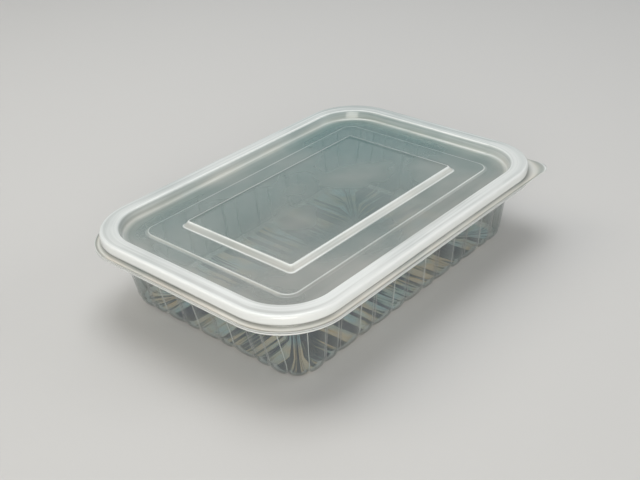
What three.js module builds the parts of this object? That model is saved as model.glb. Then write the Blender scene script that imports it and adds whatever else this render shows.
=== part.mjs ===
// Clear takeaway meal tray with its press-fit lid, empty and shut.
// Tray and lid are each pressed from one thin sheet of clear plastic, so each is a thin shell
// whose level sections are rounded rectangles. The tray's walls are fluted to stiffen them.
// Millimetres, +Z up. The origin is the middle of the tray's underside, where it rests.
// +X runs along the long sides, and the lid's square lifting corner is at +X, -Y.
import * as THREE from 'three';

// Driving dimensions
const HEIGHT = 41.2;
const SHEET = 0.5;
const FIT_GAP = 0.35;
const SMALLEST_CORNER = 0.5;
const ARC_CLEARANCE = 1;

// Corner radii go round from +X +Y to -X +Y, -X -Y and +X -Y
const RIM_OUTER = outline(95, 65, [28, 28, 28, 28]);
const RIM_INNER = outline(86.8, 57.4, [22, 22, 22, 22]);
const LIP_EDGE = outline(96.1, 66.1, [29, 25, 29, 6.8]);
const LIP_ROOT = outline(95.3, 65.3, [28, 27, 28, 22]);
const FLANGE_EDGE = outline(96.1, 66.1, [29, 25, 29, 29]);

// Steps pressed into the lid, down from the top of its rim
const PANEL = outline(57.7, 31.4, [1.5, 1.5, 1.5, 1.5]);
const PANEL_DROP = 1.3;
const PANEL_FOOT = outline(59.7, 33.4, [2.5, 2.5, 2.5, 2.5]);
const RIDGE = outline(73.1, 44.2, [6, 6, 6, 6]);
const RIDGE_DROP = 3.85;
const RIDGE_BEVEL = 1;
const RECESS_DROP = 4.6;
const RECESS_FILLET = { run: 0.9, rise: 0.6 };

// Rim bead of the lid, the snap groove pressed in below it, and the lip that flares out
const BEAD_LEAN = 1;
const BEAD_INNER_EDGE = { run: 0.5, fall: 0.8 };
const BEAD_ROUND = 1.2;
const EIGHTH_TURN_SAGITTA = 1 - Math.SQRT1_2;
const SNAP_DROP = 3.9;
const SNAP_DEPTH = 0.8;
const SNAP_SLOPE = 0.5;
const SNAP_HEIGHT = 1;
const LIP_ROOT_DROP = 5.9;
const LIP_DROP = 6.4;

// Outside of the tray's wall, which ends in a quarter-round foot
const WALL_TOP = outline(86.4, 56.4, [18, 18, 18, 18]);
const WALL_TOP_DROP = 8.5;
const KNEE = outline(80.4, 53.9, [12.8, 12.8, 12.8, 12.8]);
const FOOT_RADIUS = 7.1;
const FOOT_STEPS = 3;
const CREASE_END = outline(66.5, 40.5, [3, 3, 3, 3]);

// Bead of the tray, which fills the lid's rim but for the gap, and the flange under the lid's lip
const TRAY_BEAD_EDGE = 0.6;
const TRAY_SNAP_EXTRA = 0.1;
const TRAY_SNAP_DROP = 3.1;
const TRAY_SNAP_BOTTOM = 5.4;
const NECK_DROP = 5.7;
const FLANGE_ROOT_INSET = 0.3;
const FLANGE_ROOT_DROP = 7;
const FLANGE_DROP = 7.4;

// Flutes: grooves of V section between narrow and wide lobes
const GROOVE_DEPTH = 1.4;
const LONG_PITCH = 23.3;
const LONG_NARROW = 8.5;
const LONG_PAIRS = 3;
const SHORT_PITCH = 21.2;
const SHORT_NARROW = 7.8;
const SHORT_PAIRS = 2;
const CORNER_GROOVE = 20;
const LOBE_SHOULDER = 0.26;
const GROOVE_RUN_IN = 4;

const CORNER_STEPS = 9;
const CLEAR_LID = 0xd3d9d6;
const CLEAR_TRAY = 0xb9c2c0;

function outline(halfX, halfY, radii) {
	return { halfX, halfY, radii };
}

// The same rounded rectangle, larger by one amount all round
function grown(shape, amount) {
	const radii = shape.radii.map((radius) => Math.max(radius + amount, SMALLEST_CORNER));
	return outline(shape.halfX + amount, shape.halfY + amount, radii);
}

function between(first, second, share) {
	const mix = THREE.MathUtils.lerp;
	const radii = first.radii.map((radius, corner) => mix(radius, second.radii[corner], share));
	return outline(
		mix(first.halfX, second.halfX, share),
		mix(first.halfY, second.halfY, share),
		radii,
	);
}

// One level section of a shell: its outline, how far it lies below the rim, how deep its flutes are
function ring(shape, drop, flute = 0) {
	return { shape, z: HEIGHT - drop, flute };
}

// A station is one place round the outline, shared by every ring of a shell
function cornerStation(corner, degrees, groove = 0) {
	return { corner, angle: THREE.MathUtils.degToRad(90 * corner + degrees), groove };
}

// Side 0 faces +X, side 1 +Y, side 2 -X and side 3 -Y. Each ring keeps it on its straight stretch
function sideStation(side, along, groove = 0) {
	return { side, along, groove };
}

function pointAt(station, section) {
	const { shape, z, flute } = section;
	const inward = flute * station.groove;
	if (station.side !== undefined) {
		const facesX = station.side % 2 === 0;
		const sign = station.side < 2 ? 1 : -1;
		const halfLength = facesX ? shape.halfY : shape.halfX;
		const straight = halfLength - Math.max(...shape.radii) - ARC_CLEARANCE;
		const along = THREE.MathUtils.clamp(station.along, -straight, straight);
		const x = facesX ? sign * (shape.halfX - inward) : along;
		const y = facesX ? along : sign * (shape.halfY - inward);
		return new THREE.Vector3(x, y, z);
	}
	const { corner, angle } = station;
	const radius = shape.radii[corner];
	const signX = corner === 0 || corner === 3 ? 1 : -1;
	const signY = corner < 2 ? 1 : -1;
	const x = signX * (shape.halfX - radius) + (radius - inward) * Math.cos(angle);
	const y = signY * (shape.halfY - radius) + (radius - inward) * Math.sin(angle);
	return new THREE.Vector3(x, y, z);
}

// Upward normal of the profile between two rings, in the plane across the rim
function profileNormal(inner, outer) {
	const step = new THREE.Vector2(outer.shape.halfX - inner.shape.halfX, outer.z - inner.z);
	return new THREE.Vector2(-step.y, step.x).normalize();
}

// Lower face of the sheet: every ring moved square to the profile by the sheet's thickness
function lowerFace(rings) {
	const flat = new THREE.Vector2(0, 1);
	return rings.map((section, index) => {
		const last = index === rings.length - 1;
		const before = index === 0 ? flat : profileNormal(rings[index - 1], section);
		const after = last ? before : profileNormal(section, rings[index + 1]);
		const middle = before.clone().add(after).normalize();
		const reach = SHEET / middle.dot(before);
		return {
			...section,
			shape: grown(section.shape, -middle.x * reach),
			z: section.z - middle.y * reach,
		};
	});
}

// A closed shell: the upper face from the middle out, round the edge, and the lower face back in
function pressedSheet(upper, stations) {
	const rings = [...upper, ...lowerFace(upper).reverse()];
	const count = stations.length;
	const points = rings.flatMap((section) => stations.map((station) => pointAt(station, section)));
	const faces = [];
	for (let level = 0; level < rings.length - 1; level += 1) {
		for (let place = 0; place < count; place += 1) {
			const next = (place + 1) % count;
			const a = level * count + place;
			const b = (level + 1) * count + place;
			const c = (level + 1) * count + next;
			const d = level * count + next;
			faces.push(a, b, c, a, c, d);
		}
	}
	const lastRing = (rings.length - 1) * count;
	const top = points.push(new THREE.Vector3(0, 0, rings[0].z)) - 1;
	const bottom = points.push(new THREE.Vector3(0, 0, rings[rings.length - 1].z)) - 1;
	for (let place = 0; place < count; place += 1) {
		const next = (place + 1) % count;
		faces.push(top, place, next);
		faces.push(bottom, lastRing + next, lastRing + place);
	}
	const geometry = new THREE.BufferGeometry().setFromPoints(points);
	geometry.setIndex(faces);
	geometry.computeVertexNormals();
	return geometry;
}

// Grooves stand at both edges of each narrow lobe, and the wide lobes fill the rest of the pitch
function groovePlaces(pitch, narrow, pairs) {
	const places = [];
	for (let pair = -pairs; pair < pairs; pair += 1) {
		const middle = (pair + 0.5) * pitch;
		places.push(middle - narrow / 2, middle + narrow / 2);
	}
	return places;
}

// Depth of a groove at a share of a lobe's width from its middle: rounded lobes, sharp grooves
function grooveShare(fromMiddle) {
	return Math.abs(2 * fromMiddle) ** 3;
}

function flutedSide(side, grooves) {
	const stations = [];
	grooves.forEach((place, index) => {
		stations.push(sideStation(side, place, 1));
		if (index === grooves.length - 1) {
			return;
		}
		const width = grooves[index + 1] - place;
		for (const fromMiddle of [-LOBE_SHOULDER, LOBE_SHOULDER]) {
			const along = place + (0.5 + fromMiddle) * width;
			stations.push(sideStation(side, along, grooveShare(fromMiddle)));
		}
	});
	return side === 1 || side === 2 ? stations.reverse() : stations;
}

// Two grooves a corner leave a narrow lobe at each end of the bend and a wide one between them
function flutedCorner(corner) {
	const wide = 90 - 2 * CORNER_GROOVE;
	const shoulder = grooveShare(LOBE_SHOULDER);
	const half = [
		[0, 0],
		[CORNER_GROOVE / 2, shoulder],
		[CORNER_GROOVE, 1],
		[CORNER_GROOVE + wide * (0.5 - LOBE_SHOULDER), shoulder],
	];
	const mirrored = half.map(([degrees, groove]) => [90 - degrees, groove]).reverse();
	const places = [...half, [45, 0], ...mirrored];
	return places.map(([degrees, groove]) => cornerStation(corner, degrees, groove));
}

function trayStations() {
	const long = groovePlaces(LONG_PITCH, LONG_NARROW, LONG_PAIRS);
	const short = groovePlaces(SHORT_PITCH, SHORT_NARROW, SHORT_PAIRS);
	const stations = [];
	for (let corner = 0; corner < 4; corner += 1) {
		const nextSide = (corner + 1) % 4;
		stations.push(...flutedCorner(corner));
		stations.push(...flutedSide(nextSide, nextSide % 2 === 0 ? short : long));
	}
	return stations;
}

function lidStations() {
	const stations = [];
	for (let corner = 0; corner < 4; corner += 1) {
		for (let step = 0; step <= CORNER_STEPS; step += 1) {
			stations.push(cornerStation(corner, (90 * step) / CORNER_STEPS));
		}
	}
	return stations;
}

// Upper face of the lid: raised panel, ridge, recess, rim bead, snap groove and lip
function lidRings() {
	const snapInner = grown(RIM_OUTER, -SNAP_DEPTH);
	const snapBottom = SNAP_DROP + SNAP_HEIGHT;
	const roundStep = BEAD_ROUND * EIGHTH_TURN_SAGITTA;
	return [
		ring(PANEL, PANEL_DROP),
		ring(PANEL_FOOT, RIDGE_DROP),
		ring(RIDGE, RIDGE_DROP),
		ring(grown(RIDGE, RIDGE_BEVEL), RECESS_DROP),
		ring(grown(RIM_INNER, -BEAD_LEAN - RECESS_FILLET.run), RECESS_DROP),
		ring(grown(RIM_INNER, -BEAD_LEAN), RECESS_DROP - RECESS_FILLET.rise),
		ring(RIM_INNER, BEAD_INNER_EDGE.fall),
		ring(grown(RIM_INNER, BEAD_INNER_EDGE.run), 0),
		ring(grown(RIM_OUTER, -BEAD_ROUND), 0),
		ring(grown(RIM_OUTER, -roundStep), roundStep),
		ring(RIM_OUTER, BEAD_ROUND),
		ring(RIM_OUTER, SNAP_DROP),
		ring(snapInner, SNAP_DROP + SNAP_SLOPE),
		ring(snapInner, snapBottom),
		ring(LIP_ROOT, LIP_ROOT_DROP),
		ring(LIP_EDGE, LIP_DROP),
	];
}

// Upper face of the tray: floor, quarter-round foot, fluted wall, and the bead inside the lid's rim
function trayRings() {
	const kneeDrop = HEIGHT - FOOT_RADIUS;
	const rings = [ring(CREASE_END, HEIGHT - SHEET)];
	for (let step = FOOT_STEPS; step >= 0; step -= 1) {
		const turn = (Math.PI / 2) * (step / FOOT_STEPS);
		const inset = FOOT_RADIUS - (FOOT_RADIUS - SHEET) * Math.cos(turn);
		const drop = kneeDrop + (FOOT_RADIUS - SHEET) * Math.sin(turn);
		const flute = step === FOOT_STEPS ? GROOVE_DEPTH / 2 : GROOVE_DEPTH;
		rings.push(ring(grown(KNEE, -inset), drop, flute));
	}
	const runIn = GROOVE_RUN_IN / (kneeDrop - WALL_TOP_DROP);
	const fluteTop = grown(between(WALL_TOP, KNEE, runIn), -SHEET);
	const clear = SHEET + FIT_GAP;
	const snapInner = grown(RIM_OUTER, -clear - SNAP_DEPTH - TRAY_SNAP_EXTRA);
	rings.push(
		ring(fluteTop, WALL_TOP_DROP + GROOVE_RUN_IN, GROOVE_DEPTH),
		ring(grown(WALL_TOP, -SHEET), WALL_TOP_DROP),
		ring(grown(RIM_INNER, clear - BEAD_LEAN), NECK_DROP),
		ring(grown(RIM_INNER, clear), clear + TRAY_BEAD_EDGE),
		ring(grown(RIM_INNER, clear + TRAY_BEAD_EDGE), clear),
		ring(grown(RIM_OUTER, -clear - TRAY_BEAD_EDGE), clear),
		ring(grown(RIM_OUTER, -clear), clear + TRAY_BEAD_EDGE),
		ring(grown(RIM_OUTER, -clear), TRAY_SNAP_DROP),
		ring(snapInner, TRAY_SNAP_DROP + SNAP_DEPTH),
		ring(snapInner, TRAY_SNAP_BOTTOM),
		ring(grown(RIM_OUTER, -FLANGE_ROOT_INSET), FLANGE_ROOT_DROP),
		ring(FLANGE_EDGE, FLANGE_DROP),
	);
	return rings;
}

function namedMesh(name, geometry, color) {
	const material = new THREE.MeshStandardMaterial({
		color,
		roughness: 0.15,
		metalness: 0,
		transparent: true,
		opacity: 0.45,
	});
	const mesh = new THREE.Mesh(geometry, material);
	mesh.name = name;
	return mesh;
}

const group = new THREE.Group();
group.add(namedMesh('tray', pressedSheet(trayRings(), trayStations()), CLEAR_TRAY));
group.add(namedMesh('lid', pressedSheet(lidRings(), lidStations()), CLEAR_LID));

export default group;
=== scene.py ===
import math

import bmesh
import bpy
import numpy as np
from mathutils import Matrix, Vector


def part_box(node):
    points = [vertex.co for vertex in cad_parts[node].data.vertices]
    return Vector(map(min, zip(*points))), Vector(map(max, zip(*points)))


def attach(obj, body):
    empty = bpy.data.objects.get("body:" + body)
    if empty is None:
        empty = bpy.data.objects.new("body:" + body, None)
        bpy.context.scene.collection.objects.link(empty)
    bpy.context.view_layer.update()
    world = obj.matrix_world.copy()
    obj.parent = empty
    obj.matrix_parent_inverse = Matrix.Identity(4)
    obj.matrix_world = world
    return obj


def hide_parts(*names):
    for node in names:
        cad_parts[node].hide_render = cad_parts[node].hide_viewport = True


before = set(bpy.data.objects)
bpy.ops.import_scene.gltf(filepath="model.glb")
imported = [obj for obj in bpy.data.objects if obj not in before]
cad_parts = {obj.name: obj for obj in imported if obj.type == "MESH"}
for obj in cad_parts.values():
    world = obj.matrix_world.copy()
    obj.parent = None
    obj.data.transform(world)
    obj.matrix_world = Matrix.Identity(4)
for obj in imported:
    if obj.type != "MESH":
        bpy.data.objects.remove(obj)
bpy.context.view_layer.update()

# Tray: pressed from one clear sheet over a mould, so it is a thin shell with rounded bends.
# Its walls are fluted to stiffen them, a quarter-round foot carries the grooves under the floor,
# and the bead at the top is what the lid snaps over.
mm = 0.001
tray_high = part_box("tray")[1]
rim_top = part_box("lid")[1][2]
sheet = 0.5 * mm
flare = 1.1 * mm
rim_half_x = tray_high[0] - flare
rim_half_y = tray_high[1] - flare


def outline(half_x, half_y, *corners):
    """A rounded rectangle: half sizes, then corner radii from +X +Y round to +X -Y."""
    radii = corners if len(corners) == 4 else corners * 4
    return np.array([half_x, half_y, *radii])


def ring(shape, z, flute=0.0, milk_and_highlight=0.0, light_and_shade=0.0):
    """One level section of a pressed sheet: outline, height, groove depth, milkiness with painted
    highlights, and painted light and shading.
    """
    return np.array([*shape, z, flute, milk_and_highlight, light_and_shade])


def profile_step(first, second):
    """The step between two rings, in the plane across the rim."""
    return np.array([second[0] - first[0], second[6] - first[6]])


def softened(rings, bend, steps):
    """The same rings with every bend of the sheet rounded, as a mould leaves it."""
    smooth = [rings[0]]
    for before, here, after in zip(rings, rings[1:], rings[2:]):
        back = min(0.5, bend / np.linalg.norm(profile_step(before, here)))
        ahead = min(0.5, bend / np.linalg.norm(profile_step(here, after)))
        start = here + (before - here) * back
        end = here + (after - here) * ahead
        for step in range(steps + 1):
            t = step / steps
            smooth.append(start * (1 - t) ** 2 + here * 2 * t * (1 - t) + end * t**2)
    smooth.append(rings[-1])
    return smooth


def corner_stations(corner, places):
    """Places round one corner as (corner, angle in degrees, share of the groove depth)."""
    return [("bend", corner, math.radians(90 * corner + angle), groove) for angle, groove in places]


def side_stations(side, places):
    """Places along one side: 0 faces +X, 1 +Y, 2 -X and 3 -Y."""
    return [("side", side, along, groove) for along, groove in places]


arc_clearance = 0.5 * mm
side_ease = 3 * mm


def place_on(section, normal, station):
    """The point of a ring at a station. Grooves go in square to the sheet.

    Where a ring's straight side is too short for a place, the place draws in, so that no two meet.
    """
    half_x, half_y = section[:2]
    z, flute = section[6:8]
    kind, index, where, groove = station
    inward = flute * groove * abs(normal[0])
    z += flute * groove * max(normal[1], 0)
    if kind == "side":
        sign = 1 if index < 2 else -1
        reach = (half_y if index % 2 == 0 else half_x) - max(section[2:6]) - arc_clearance
        beyond = max(abs(where) - reach + side_ease, 0)
        drawn_in = reach - side_ease * math.exp(-beyond / side_ease)
        along = math.copysign(drawn_in, where) if beyond else where
        if index % 2 == 0:
            return (sign * (half_x - inward), along, z)
        return (along, sign * (half_y - inward), z)
    radius = section[2 + index]
    sign_x = 1 if index in (0, 3) else -1
    sign_y = 1 if index < 2 else -1
    x = sign_x * (half_x - radius) + (radius - inward) * math.cos(where)
    y = sign_y * (half_y - radius) + (radius - inward) * math.sin(where)
    return (x, y, z)


groove_depth = 1.5 * mm
# Brightness of the painted highlight line along each groove's bottom
groove_highlight = 1.0
weld_gap = 0.005 * mm


def pressed_sheet(name, rings, stations):
    """One face of the sheet as a grid of rings and stations, thickened downwards.

    Each point keeps its milkiness with painted highlights, its painted light and shading, and its
    flow: where it lies round the outline, on a circle as long as the outline, and how far out across
    the sheet.
    """
    build = bmesh.new()
    milk_and_highlight = build.verts.layers.float.new("milk_and_highlight")
    # Painted light and shading: streaks, a darker crevice and cream reflections
    light_and_shade = build.verts.layers.float.new("light_and_shade")
    flow = build.verts.layers.float_vector.new("flow")
    edge = [Vector(place_on(rings[-1], (1, 0), station)) for station in stations]
    gaps = [(after - here).length for here, after in zip(edge, edge[1:] + edge[:1])]
    lengths = np.cumsum([0] + gaps)
    circle = lengths[-1] / math.tau
    across = 0.0
    rows = []
    for index, section in enumerate(rings):
        inner_ring = rings[max(index - 1, 0)]
        outer_ring = rings[min(index + 1, len(rings) - 1)]
        step = profile_step(inner_ring, outer_ring)
        normal = np.array([-step[1], step[0]]) / np.linalg.norm(step)
        across += np.linalg.norm(profile_step(inner_ring, section))
        row = []
        for station, along in zip(stations, lengths):
            vertex = build.verts.new(place_on(section, normal, station))
            turn = along / circle
            # A groove's bottom adds its painted highlight line to the milkiness
            lined = section[7] / groove_depth if station[3] == 1 else 0
            vertex[milk_and_highlight] = section[8] + groove_highlight * lined
            vertex[light_and_shade] = section[9]
            vertex[flow] = (circle * math.cos(turn), circle * math.sin(turn), across)
            row.append(vertex)
        rows.append(row)
    build.faces.new(rows[0])
    count = len(stations)
    for inner, outer in zip(rows, rows[1:]):
        for place in range(count):
            following = (place + 1) % count
            corners = (inner[place], outer[place], outer[following], inner[following])
            build.faces.new(corners)
    bmesh.ops.remove_doubles(build, verts=build.verts, dist=weld_gap)
    for face in build.faces:
        face.smooth = True
    mesh = bpy.data.meshes.new(name)
    build.to_mesh(mesh)
    build.free()
    piece = bpy.data.objects.new(name, mesh)
    bpy.context.collection.objects.link(piece)
    thicken = piece.modifiers.new("sheet", "SOLIDIFY")
    thicken.thickness = sheet
    thicken.offset = -1
    thicken.use_even_offset = True
    return piece


long_grooves = {"pitch": 23.3 * mm, "narrow": 8.5 * mm, "pairs": 3}
short_grooves = {"pitch": 21.2 * mm, "narrow": 7.8 * mm, "pairs": 2}
corner_groove = 20
lobe_steps = 8
side_line = 0.28 * mm
corner_line = 1.1


def groove_share(share):
    """Depth of the groove across a lobe, from 1 at its edges to 0 at its crown."""
    return abs(2 * share - 1) ** 3


def lobes(edges, line):
    """Places between neighbouring grooves, with the depth of the groove at each.

    The first and last lie close to the grooves, so that the painted highlight along a groove's bottom
    is a thin line.
    """
    places = []
    for start, end in zip(edges, edges[1:]):
        near = line / (end - start)
        inside = [near + (1 - 2 * near) * step / lobe_steps for step in range(lobe_steps + 1)]
        for share in [0.0] + inside:
            places.append((start + (end - start) * share, groove_share(share)))
    return places


def groove_edges(pitch, narrow, pairs):
    """Grooves on both sides of each narrow lobe, with wide lobes between the pairs."""
    middles = [(pair + 0.5) * pitch for pair in range(-pairs, pairs)]
    return [middle + half for middle in middles for half in (-narrow / 2, narrow / 2)]


def fluted_stations():
    """The stations of the tray, with the grooves of its sides and corners.

    Two grooves stand corner_groove degrees from the ends of each bend. A half lobe leads from the
    last groove of a side to the bend, and another from the bend to its first groove.
    """
    long_edges = groove_edges(**long_grooves)
    short_edges = groove_edges(**short_grooves)
    half_lobe = ((side_line, 0.04), (1.5 * mm, 0.18), (3 * mm, 0.35))
    opening_shares = (0.0, 0.2, 0.4, 0.6, 0.8, 0.94)
    opening = [(corner_groove * share, groove_share(0.5 + share / 2)) for share in opening_shares]
    closing = [(90 - angle, groove) for angle, groove in reversed(opening)]
    wide_lobe = lobes([corner_groove, 90 - corner_groove], corner_line)
    bend = opening + wide_lobe + [(90 - corner_groove, 1.0)] + closing
    stations = []
    for corner in range(4):
        stations += corner_stations(corner, bend)
        side = (corner + 1) % 4
        edges = short_edges if side % 2 == 0 else long_edges
        inner = lobes(edges, side_line) + [(edges[-1], 1.0)]
        ends = [(edges[-1] + reach, groove_share(share)) for reach, share in half_lobe]
        places = [(-along, groove) for along, groove in reversed(ends)] + inner + ends
        if side in (1, 2):
            places = [(-along, groove) for along, groove in places]
        stations += side_stations(side, places)
    return stations


rim_outer = outline(rim_half_x, rim_half_y, 28 * mm)
rim_inner = outline(rim_half_x - 8.2 * mm, rim_half_y - 7.6 * mm, 22 * mm)
wall_top = outline(rim_half_x - 8.6 * mm, rim_half_y - 8.6 * mm, 18 * mm)
knee = outline(rim_half_x - 14.6 * mm, rim_half_y - 11.1 * mm, 12.8 * mm)
crease_end = outline(rim_half_x - 28.5 * mm, rim_half_y - 24.5 * mm, 3 * mm)
floor_edge = outline(rim_half_x - 37 * mm, rim_half_y - 33 * mm, 2.5 * mm)
floor_middle = outline(rim_half_x - 48 * mm, rim_half_y - 44 * mm, 2 * mm)
floor_centre = outline(rim_half_x - 56 * mm, rim_half_y - 52 * mm, 1.5 * mm)
flange_edge = outline(rim_half_x + flare, rim_half_y + flare, 29 * mm, 25 * mm, 29 * mm, 29 * mm)
floor_z = sheet + 0.1 * mm
foot_radius = 7.1 * mm
foot_steps = 8
foot_milk = 0.05
# Steps of the foot that carry a painted highlight line, with its milkiness
foot_highlight = {4: 0.1, 5: 1.0, 6: 0.6}
fit_gap = 0.35 * mm
bead_clear = sheet + fit_gap
bead_lean = 1 * mm
bead_edge = 0.6 * mm
bead_crown = rim_top - bead_clear
snap_depth = 0.8 * mm
snap_extra = 0.1 * mm


def foot_rings():
    """The flat floor, then the quarter-round foot up to where the wall starts.

    A painted highlight line runs along the foot, at the steps that foot_highlight gives with their
    milkiness.
    """
    # The floor carries painted streaks of light and shading, strongest towards its edge
    rings = [
        ring(floor_centre, floor_z, milk_and_highlight=0.03, light_and_shade=0.0),
        ring(floor_middle, floor_z, milk_and_highlight=0.03, light_and_shade=0.35),
        ring(floor_edge, floor_z, milk_and_highlight=0.03, light_and_shade=0.8),
        ring(crease_end, floor_z, milk_and_highlight=0.03, light_and_shade=0.9),
    ]
    inner_radius = foot_radius - sheet
    for step in range(foot_steps, -1, -1):
        turn = math.pi / 2 * step / foot_steps
        shape = knee - foot_radius + inner_radius * math.cos(turn)
        z = foot_radius - (foot_radius - floor_z) * math.sin(turn)
        flute = groove_depth * (1 - 0.5 * (step / foot_steps) ** 3)
        milk_and_highlight = foot_highlight.get(step, foot_milk)
        # Painted streaks of light and shading on the foot, strongest where it meets the floor
        light_and_shade = 0.05 + 0.85 * math.sin(turn) ** 6
        rings.append(ring(shape, z, flute, milk_and_highlight, light_and_shade))
    return rings


def tray_rings():
    """Upper face of the tray, from the floor up the wall, over the bead and out to the flange."""
    upper_wall = knee + (wall_top - knee) * 0.75 - sheet
    fluted_top = knee + (wall_top - knee) * 0.85 - sheet
    snap_groove = rim_outer - bead_clear - snap_depth - snap_extra
    bead = [
        ring(upper_wall, rim_top - 15 * mm, groove_depth, light_and_shade=0.05),
        ring(fluted_top, rim_top - 12.5 * mm, groove_depth, milk_and_highlight=0.12),
        ring(wall_top - sheet, rim_top - 8.5 * mm, 0.2 * groove_depth, milk_and_highlight=0.5),
        ring(rim_inner + bead_clear - bead_lean, rim_top - 5.7 * mm, milk_and_highlight=0.7),
        ring(rim_inner + bead_clear, bead_crown - bead_edge, milk_and_highlight=0.4),
        ring(rim_inner + bead_clear + bead_edge, bead_crown, milk_and_highlight=0.35),
        ring(rim_outer - bead_clear - bead_edge, bead_crown, milk_and_highlight=0.35),
        ring(rim_outer - bead_clear, bead_crown - bead_edge, milk_and_highlight=0.35),
        ring(rim_outer - bead_clear, rim_top - 3.1 * mm, milk_and_highlight=0.3),
        # Painted shading in the crevice of the snap groove
        ring(snap_groove, rim_top - 3.9 * mm, milk_and_highlight=0.05, light_and_shade=0.6),
        ring(snap_groove, rim_top - 5.4 * mm, milk_and_highlight=0.05, light_and_shade=0.6),
        ring(rim_outer - 0.3 * mm, rim_top - 7 * mm, milk_and_highlight=0.3),
        ring(rim_outer + 0.5 * mm, rim_top - 7.2 * mm, milk_and_highlight=0.5, light_and_shade=0.4),
        # A painted highlight line along the flange's edge
        ring(flange_edge, rim_top - 7.3 * mm, milk_and_highlight=1.2),
    ]
    return foot_rings() + softened(bead, bend=0.5 * mm, steps=3)


class Value:
    """A socket's value in a material. Arithmetic on it adds Math nodes."""

    def __init__(self, look, socket):
        self.look = look
        self.socket = socket

    def maths(self, operation, first, second):
        """A Math node on two values or numbers."""
        return self.look.node("ShaderNodeMath", {"operation": operation}, {0: first, 1: second})

    def __add__(self, other):
        return self.maths("ADD", self, other)

    def __sub__(self, other):
        return self.maths("SUBTRACT", self, other)

    def __rsub__(self, other):
        return self.maths("SUBTRACT", other, self)

    def __mul__(self, other):
        return self.maths("MULTIPLY", self, other)

    def __pow__(self, other):
        return self.maths("POWER", self, other)

    __radd__ = __add__
    __rmul__ = __mul__


class Look:
    """One material and its nodes."""

    def __init__(self, name):
        self.material = bpy.data.materials.new(name)
        self.material.use_nodes = True
        self.tree = self.material.node_tree
        self.tree.nodes.clear()

    def node(self, kind, settings=None, sockets=None, output=0):
        """Add a node: its settings first, then a value or a link for each socket."""
        made = self.tree.nodes.new(kind)
        for name, value in (settings or {}).items():
            if name == "stops":
                ramp = made.color_ramp.elements
                for index, (place, colour) in enumerate(value):
                    stop = ramp[index] if index < len(ramp) else ramp.new(place)
                    stop.position = place
                    stop.color = colour
            else:
                setattr(made, name, value)
        for name, value in (sockets or {}).items():
            if isinstance(value, Value):
                self.tree.links.new(value.socket, made.inputs[name])
            else:
                made.inputs[name].default_value = value
        return Value(self, made.outputs[output]) if made.outputs else None

    def mixed(self, share, first, second):
        """One colour blending into another by a share."""
        settings = {"data_type": "RGBA"}
        return self.node("ShaderNodeMix", settings, {0: share, 6: first, 7: second}, 2)


# White of the sheet's milkiness, also used for its painted highlights and sheen
milk_and_highlight_white = (0.80, 0.83, 0.82, 1)
whitening = 1.6
# The side towards which the plain haze is painted lighter and warmer, as painted light
painted_lit_side = (-5, -5, 0)


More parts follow.
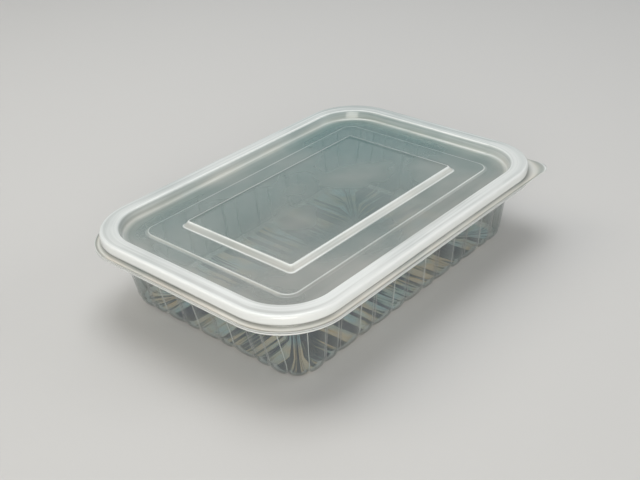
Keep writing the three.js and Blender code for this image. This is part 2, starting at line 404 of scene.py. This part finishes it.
def clear_plastic(name, haze, cover, tones, tints, sight, grain):
    """Clear pressed plastic. It is milkier where the sheet is folded, with painted highlight lines
    along its grooves and edges, and mirror-like at a slant.

    Haze is the cool, darker and the warm, lighter colour of the plain sheet. It turns warm towards -X
    and -Y as painted light, and cool towards +X and +Y as painted shading, and cover is how much it
    hides.
    Tones are the colours of its painted streaks of light and shading, from dark to pale, and tints
    turn them cool or warm in patches. Sight is what it lets through, and grain is how the streaks
    run: finely round the outline or across it.
    """
    look = Look(name)
    place = look.node("ShaderNodeTexCoord", output="Object")
    flow = look.node("ShaderNodeAttribute", {"attribute_name": "flow"}, output="Vector")
    milk_and_highlight = look.node("ShaderNodeAttribute", {"attribute_name": "milk_and_highlight"}, output="Fac")
    light_and_shade = look.node("ShaderNodeAttribute", {"attribute_name": "light_and_shade"}, output="Fac")

    # Painted streaks of light and shading drawn out along the sheet, and clouds that break them up
    cloud = look.node("ShaderNodeTexNoise", {}, {"Vector": place, "Scale": 16.0, "Detail": 3.0})
    combed = look.node("ShaderNodeMapping", {}, {"Vector": flow, "Scale": grain})
    streak = look.node("ShaderNodeTexNoise", {}, {"Vector": combed, "Scale": 1.0, "Detail": 2.0})
    spread = look.node("ShaderNodeMapRange", {}, {"Value": streak, "From Min": 0.36, "From Max": 0.64})
    drift = look.node("ShaderNodeMapRange", {}, {"Value": cloud, "From Min": 0.35, "From Max": 0.65})
    toned = look.node("ShaderNodeValToRGB", {"stops": tones}, {0: spread * 0.8 + drift * 0.2})
    patch = look.node("ShaderNodeTexNoise", {}, {"Vector": place, "Scale": 60.0, "Detail": 1.0})
    hue = look.node("ShaderNodeMapRange", {}, {"Value": patch, "From Min": 0.4, "From Max": 0.6})
    tint = look.mixed(hue, *tints)
    toned = look.node("ShaderNodeMix", {"data_type": "RGBA", "blend_type": "MULTIPLY"}, {
        0: 1.0, 6: toned, 7: tint,
    }, 2)

    # How much the sheet hides, and its colour there: plain haze, painted streaks of light and shading,
    # and milkiness with painted highlights
    milk_and_highlight_share = milk_and_highlight * (0.85 + spread * 0.3)
    plain = cover * (0.7 + drift * 0.6)
    hidden = milk_and_highlight_share + light_and_shade + plain
    # Painted light on the haze towards -X and -Y, painted shading towards +X and +Y
    towards = look.node("ShaderNodeVectorMath", {"operation": "DOT_PRODUCT"}, {
        0: place, 1: painted_lit_side,
    }, "Value")
    painted_light_share = 0.2 + drift * 0.6 + towards
    colour = look.mixed(light_and_shade * 2, look.mixed(painted_light_share, *haze), toned)
    colour = look.mixed(milk_and_highlight_share * whitening, colour, milk_and_highlight_white)

    # At a slant the light passes through more of the sheet, so it hides more and looks milkier; this
    # whitening is partly a painted sheen along the outline
    facing = look.node("ShaderNodeLayerWeight", {}, {"Blend": 0.5}, "Facing")
    slant = facing**4 * 0.3
    hidden = hidden + slant - hidden * slant
    colour = look.mixed(slant * whitening, colour, milk_and_highlight_white)

    # The sheet's body under a gloss that ripples slightly, as pressed plastic does
    ripple = look.node("ShaderNodeTexNoise", {}, {"Vector": place, "Scale": 26.0, "Detail": 0.0})
    bump = look.node("ShaderNodeBump", {}, {
        "Strength": 0.4, "Distance": 0.0006, "Height": ripple,
    })
    body = look.node("ShaderNodeBsdfPrincipled", {}, {
        "Base Color": colour, "Roughness": 0.25 + cloud * 0.15, "Normal": bump,
    })
    through = look.node("ShaderNodeBsdfTransparent", {}, {"Color": sight})
    sheet_look = look.node("ShaderNodeMixShader", {}, {0: hidden, 1: through, 2: body})
    gloss = look.node("ShaderNodeBsdfGlossy", {}, {
        "Color": (1, 1, 1, 1), "Roughness": 0.07 + cloud * 0.06, "Normal": bump,
    })
    mirrored = 0.03 + facing**5 * 0.8
    surface = look.node("ShaderNodeMixShader", {}, {0: mirrored, 1: sheet_look, 2: gloss})
    look.node("ShaderNodeOutputMaterial", {}, {"Surface": surface})
    return look.material


tray = pressed_sheet("tray_sheet", tray_rings(), fluted_stations())
tray.data.materials.append(clear_plastic(
    "tray_plastic",
    # Cool haze for painted shading, warm haze for painted light
    haze=((0.32, 0.43, 0.46, 1), (0.45, 0.45, 0.42, 1)),
    cover=0.03,
    # Painted streaks of light and shading, from navy to cream
    tones=[
        (0.0, (0.01, 0.03, 0.08, 1)),
        (0.35, (0.03, 0.07, 0.16, 1)),
        (0.43, (0.30, 0.34, 0.32, 1)),
        (0.51, (0.98, 0.85, 0.66, 1)),
        (0.67, (1.0, 0.98, 0.94, 1)),
    ],
    tints=[(0.58, 0.86, 1.0, 1), (1.0, 0.82, 0.60, 1)],
    sight=(0.86, 0.88, 0.88, 1),
    grain=(320, 320, 16),
))
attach(tray, "root")
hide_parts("tray")

# Lid: pressed from a clear sheet like the tray. A raised panel and a low ridge stiffen its top,
# its rim bead snaps over the tray's bead, and its lip ends in a square corner that lifts it.
panel = outline(rim_half_x - 37.3 * mm, rim_half_y - 33.6 * mm, 1.5 * mm)
panel_foot = outline(rim_half_x - 35.3 * mm, rim_half_y - 31.6 * mm, 2.5 * mm)
ridge = outline(rim_half_x - 21.9 * mm, rim_half_y - 20.8 * mm, 6 * mm)
lip_root = outline(rim_half_x + 0.3 * mm, rim_half_y + 0.3 * mm, 28 * mm, 27 * mm, 28 * mm, 22 * mm)
lip_edge = outline(rim_half_x + flare, rim_half_y + flare, 29 * mm, 25 * mm, 29 * mm, 6.8 * mm)
panel_top = rim_top - 1.3 * mm
ridge_top = rim_top - 3.85 * mm
recess_floor = rim_top - 4.6 * mm
snap_top = rim_top - 3.9 * mm
lid_corner_steps = 24
lid_side_places = (-35 * mm, 0, 35 * mm)


def lid_rings():
    """Upper face of the lid, from the raised panel out over the rim bead to the lip."""
    snap_groove = rim_outer - snap_depth
    rings = [
        ring(panel - 1 * mm, panel_top),
        ring(panel - 0.6 * mm, panel_top),
        # Painted highlight lines at the panel's edges, with a painted cream reflection on the bevel
        # between them
        ring(panel, panel_top, milk_and_highlight=0.85),
        ring(panel * 0.8 + panel_foot * 0.2, rim_top - 1.81 * mm, milk_and_highlight=0.35, light_and_shade=0.12),
        ring(panel * 0.2 + panel_foot * 0.8, rim_top - 3.34 * mm, milk_and_highlight=0.25, light_and_shade=0.12),
        ring(panel_foot, ridge_top, milk_and_highlight=0.7),
        ring(panel_foot + 0.5 * mm, ridge_top),
        ring(ridge - 0.4 * mm, ridge_top),
        # A painted highlight line along the ridge
        ring(ridge, ridge_top, milk_and_highlight=0.6),
        ring(ridge + 0.4 * mm, rim_top - 4.15 * mm, milk_and_highlight=0.13),
        ring(ridge + 1 * mm, recess_floor, milk_and_highlight=0.16),
        ring(ridge + 1.5 * mm, recess_floor),
        ring(rim_inner - 8 * mm, recess_floor),
        # A painted cream reflection in the band at the foot of the rim
        ring(rim_inner - 4 * mm, recess_floor, milk_and_highlight=0.05, light_and_shade=0.03),
        ring(rim_inner - 1.9 * mm, recess_floor, milk_and_highlight=0.18, light_and_shade=0.12),
        ring(rim_inner - 1.5 * mm, rim_top - 4.35 * mm, milk_and_highlight=0.3, light_and_shade=0.15),
        ring(rim_inner - 1 * mm, rim_top - 4 * mm, milk_and_highlight=0.2, light_and_shade=0.15),
        # The rim bead's milkiness, with painted highlight lines along its edges
        ring(rim_inner, rim_top - 0.8 * mm, milk_and_highlight=0.35),
        ring(rim_inner + 0.5 * mm, rim_top, milk_and_highlight=0.6),
        ring(rim_inner + 1.5 * mm, rim_top, milk_and_highlight=0.46),
        ring(rim_inner + 3.3 * mm, rim_top, milk_and_highlight=0.52),
        ring(rim_outer - 2.4 * mm, rim_top, milk_and_highlight=0.42),
        ring(rim_outer - 1.2 * mm, rim_top, milk_and_highlight=0.5),
        ring(rim_outer - 0.35 * mm, rim_top - 0.35 * mm, milk_and_highlight=0.9),
        ring(rim_outer, rim_top - 1.2 * mm, milk_and_highlight=0.9),
        ring(rim_outer, snap_top, milk_and_highlight=0.4),
        ring(snap_groove, snap_top - 0.5 * mm, milk_and_highlight=0.05),
        ring(snap_groove, snap_top - 1 * mm, milk_and_highlight=0.05),
        # A painted cream reflection on the lip, and a painted highlight line along its edge
        ring(lip_root, rim_top - 5.9 * mm, milk_and_highlight=0.35, light_and_shade=0.3),
        ring(lip_root * 0.7 + lip_edge * 0.3, rim_top - 6.08 * mm, milk_and_highlight=0.15, light_and_shade=0.25),
        ring(lip_root * 0.5 + lip_edge * 0.5, rim_top - 6.21 * mm, milk_and_highlight=0.05, light_and_shade=0.12),
        ring(lip_root * 0.15 + lip_edge * 0.85, rim_top - 6.42 * mm, milk_and_highlight=0.05, light_and_shade=0.05),
        ring(lip_edge, rim_top - 6.5 * mm, milk_and_highlight=1.3),
    ]
    return softened(rings, bend=0.4 * mm, steps=3)


def lid_stations():
    """Fine corners, and a few places along each side."""
    bend = [(90 * step / lid_corner_steps, 0.0) for step in range(lid_corner_steps + 1)]
    forward_places = [(along, 0.0) for along in lid_side_places]
    stations = []
    for corner in range(4):
        stations += corner_stations(corner, bend)
        side = (corner + 1) % 4
        stations += side_stations(side, forward_places[::-1] if side in (1, 2) else forward_places)
    return stations


lid = pressed_sheet("lid_sheet", lid_rings(), lid_stations())
lid.data.materials.append(clear_plastic(
    "lid_plastic",
    # Cool haze for painted shading, warm haze for painted light
    haze=((0.13, 0.27, 0.27, 1), (0.42, 0.43, 0.40, 1)),
    cover=0.45,
    # Cream colours for the painted reflections and highlights on the lid
    tones=[
        (0.0, (0.62, 0.58, 0.50, 1)),
        (0.5, (0.85, 0.79, 0.68, 1)),
        (1.0, (1.0, 0.95, 0.85, 1)),
    ],
    tints=[(0.93, 0.97, 0.98, 1), (1.0, 0.93, 0.84, 1)],
    sight=(0.90, 0.92, 0.91, 1),
    grain=(14, 14, 700),
))
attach(lid, "root")
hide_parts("lid")

# Floor: one large flat sheet of plain pale paper, with a dull face.
# The container stands on it, and it is no part of the container.
floor_half = 3.0
floor_corners = [
    (-floor_half, -floor_half, 0), (floor_half, -floor_half, 0),
    (floor_half, floor_half, 0), (-floor_half, floor_half, 0),
]
floor_mesh = bpy.data.meshes.new("floor")
floor_mesh.from_pydata(floor_corners, [], [(0, 1, 2, 3)])
floor = bpy.data.objects.new("floor", floor_mesh)
bpy.context.collection.objects.link(floor)
floor_look = Look("floor_paper")
paper = floor_look.node("ShaderNodeBsdfPrincipled", {}, {
    "Base Color": (0.6, 0.6, 0.59, 1), "Roughness": 0.8,
})
floor_look.node("ShaderNodeOutputMaterial", {}, {"Surface": paper})
floor_mesh.materials.append(floor_look.material)

# Light: soft studio boxes over, behind and beside the object, in a pale room.
# The slightly warm ones stand where the rim looks warm.
room_colour = (0.9, 0.92, 0.95, 1)
room_strength = 0.3
world = bpy.data.worlds.new("studio")
bpy.context.scene.world = world
world.use_nodes = True
room = world.node_tree.nodes["Background"]
room.inputs["Color"].default_value = room_colour
room.inputs["Strength"].default_value = room_strength


def softbox(name, place, size, power, tint):
    """A square area light aimed at the object."""
    data = bpy.data.lights.new(name, "AREA")
    data.size = size
    data.energy = power
    data.color = tint
    lamp = bpy.data.objects.new(name, data)
    bpy.context.collection.objects.link(lamp)
    lamp.location = place
    lamp.rotation_euler = (-Vector(place)).to_track_quat("-Z", "Y").to_euler()


softbox("light_top", place=(0.1, 0.15, 0.9), size=0.6, power=3.7, tint=(1, 1, 1))
softbox("light_back", place=(0.6, 0.74, 1.05), size=0.8, power=1.8, tint=(0.96, 1, 1))
softbox("light_left", place=(-0.35, 0.62, 0.8), size=0.5, power=1.9, tint=(1, 0.92, 0.8))
softbox("light_right", place=(0.7, -0.85, 0.6), size=0.5, power=1.9, tint=(1, 0.98, 0.95))
softbox("light_front", place=(-0.75, -0.6, 0.32), size=0.6, power=5.6, tint=(1, 0.95, 0.88))

# Enough steps for light to pass through all the sheets that lie behind one another
bpy.context.scene.cycles.transparent_max_bounces = 32
bpy.context.scene.view_settings.view_transform = "Standard"

# Camera: where the photograph was taken from, a little above the near corner at -X, -Y.
# Its place is measured from the middle of the rim's top, and roll is its slight lean.
lens = 53.4
yaw = math.radians(41.9)
pitch = math.radians(30.15)
roll = math.radians(2.555)
seen_from = Vector((-295.8, -261.6, 202.3)) * mm + Vector((0, 0, rim_top))
forward = Vector((math.cos(yaw) * math.cos(pitch), math.sin(yaw) * math.cos(pitch), -math.sin(pitch)))
level = Vector((math.sin(yaw), -math.cos(yaw), 0))
downward = forward.cross(level)
picture_right = math.cos(roll) * level + math.sin(roll) * downward
picture_down = -math.sin(roll) * level + math.cos(roll) * downward
turned = Matrix((picture_right, -picture_down, -forward)).transposed().to_4x4()
camera_data = bpy.data.cameras.new("camera")
camera_data.lens = lens
camera_data.clip_start = 10 * mm
camera = bpy.data.objects.new("camera", camera_data)
bpy.context.collection.objects.link(camera)
camera.matrix_world = Matrix.Translation(seen_from) @ turned
bpy.context.scene.camera = camera
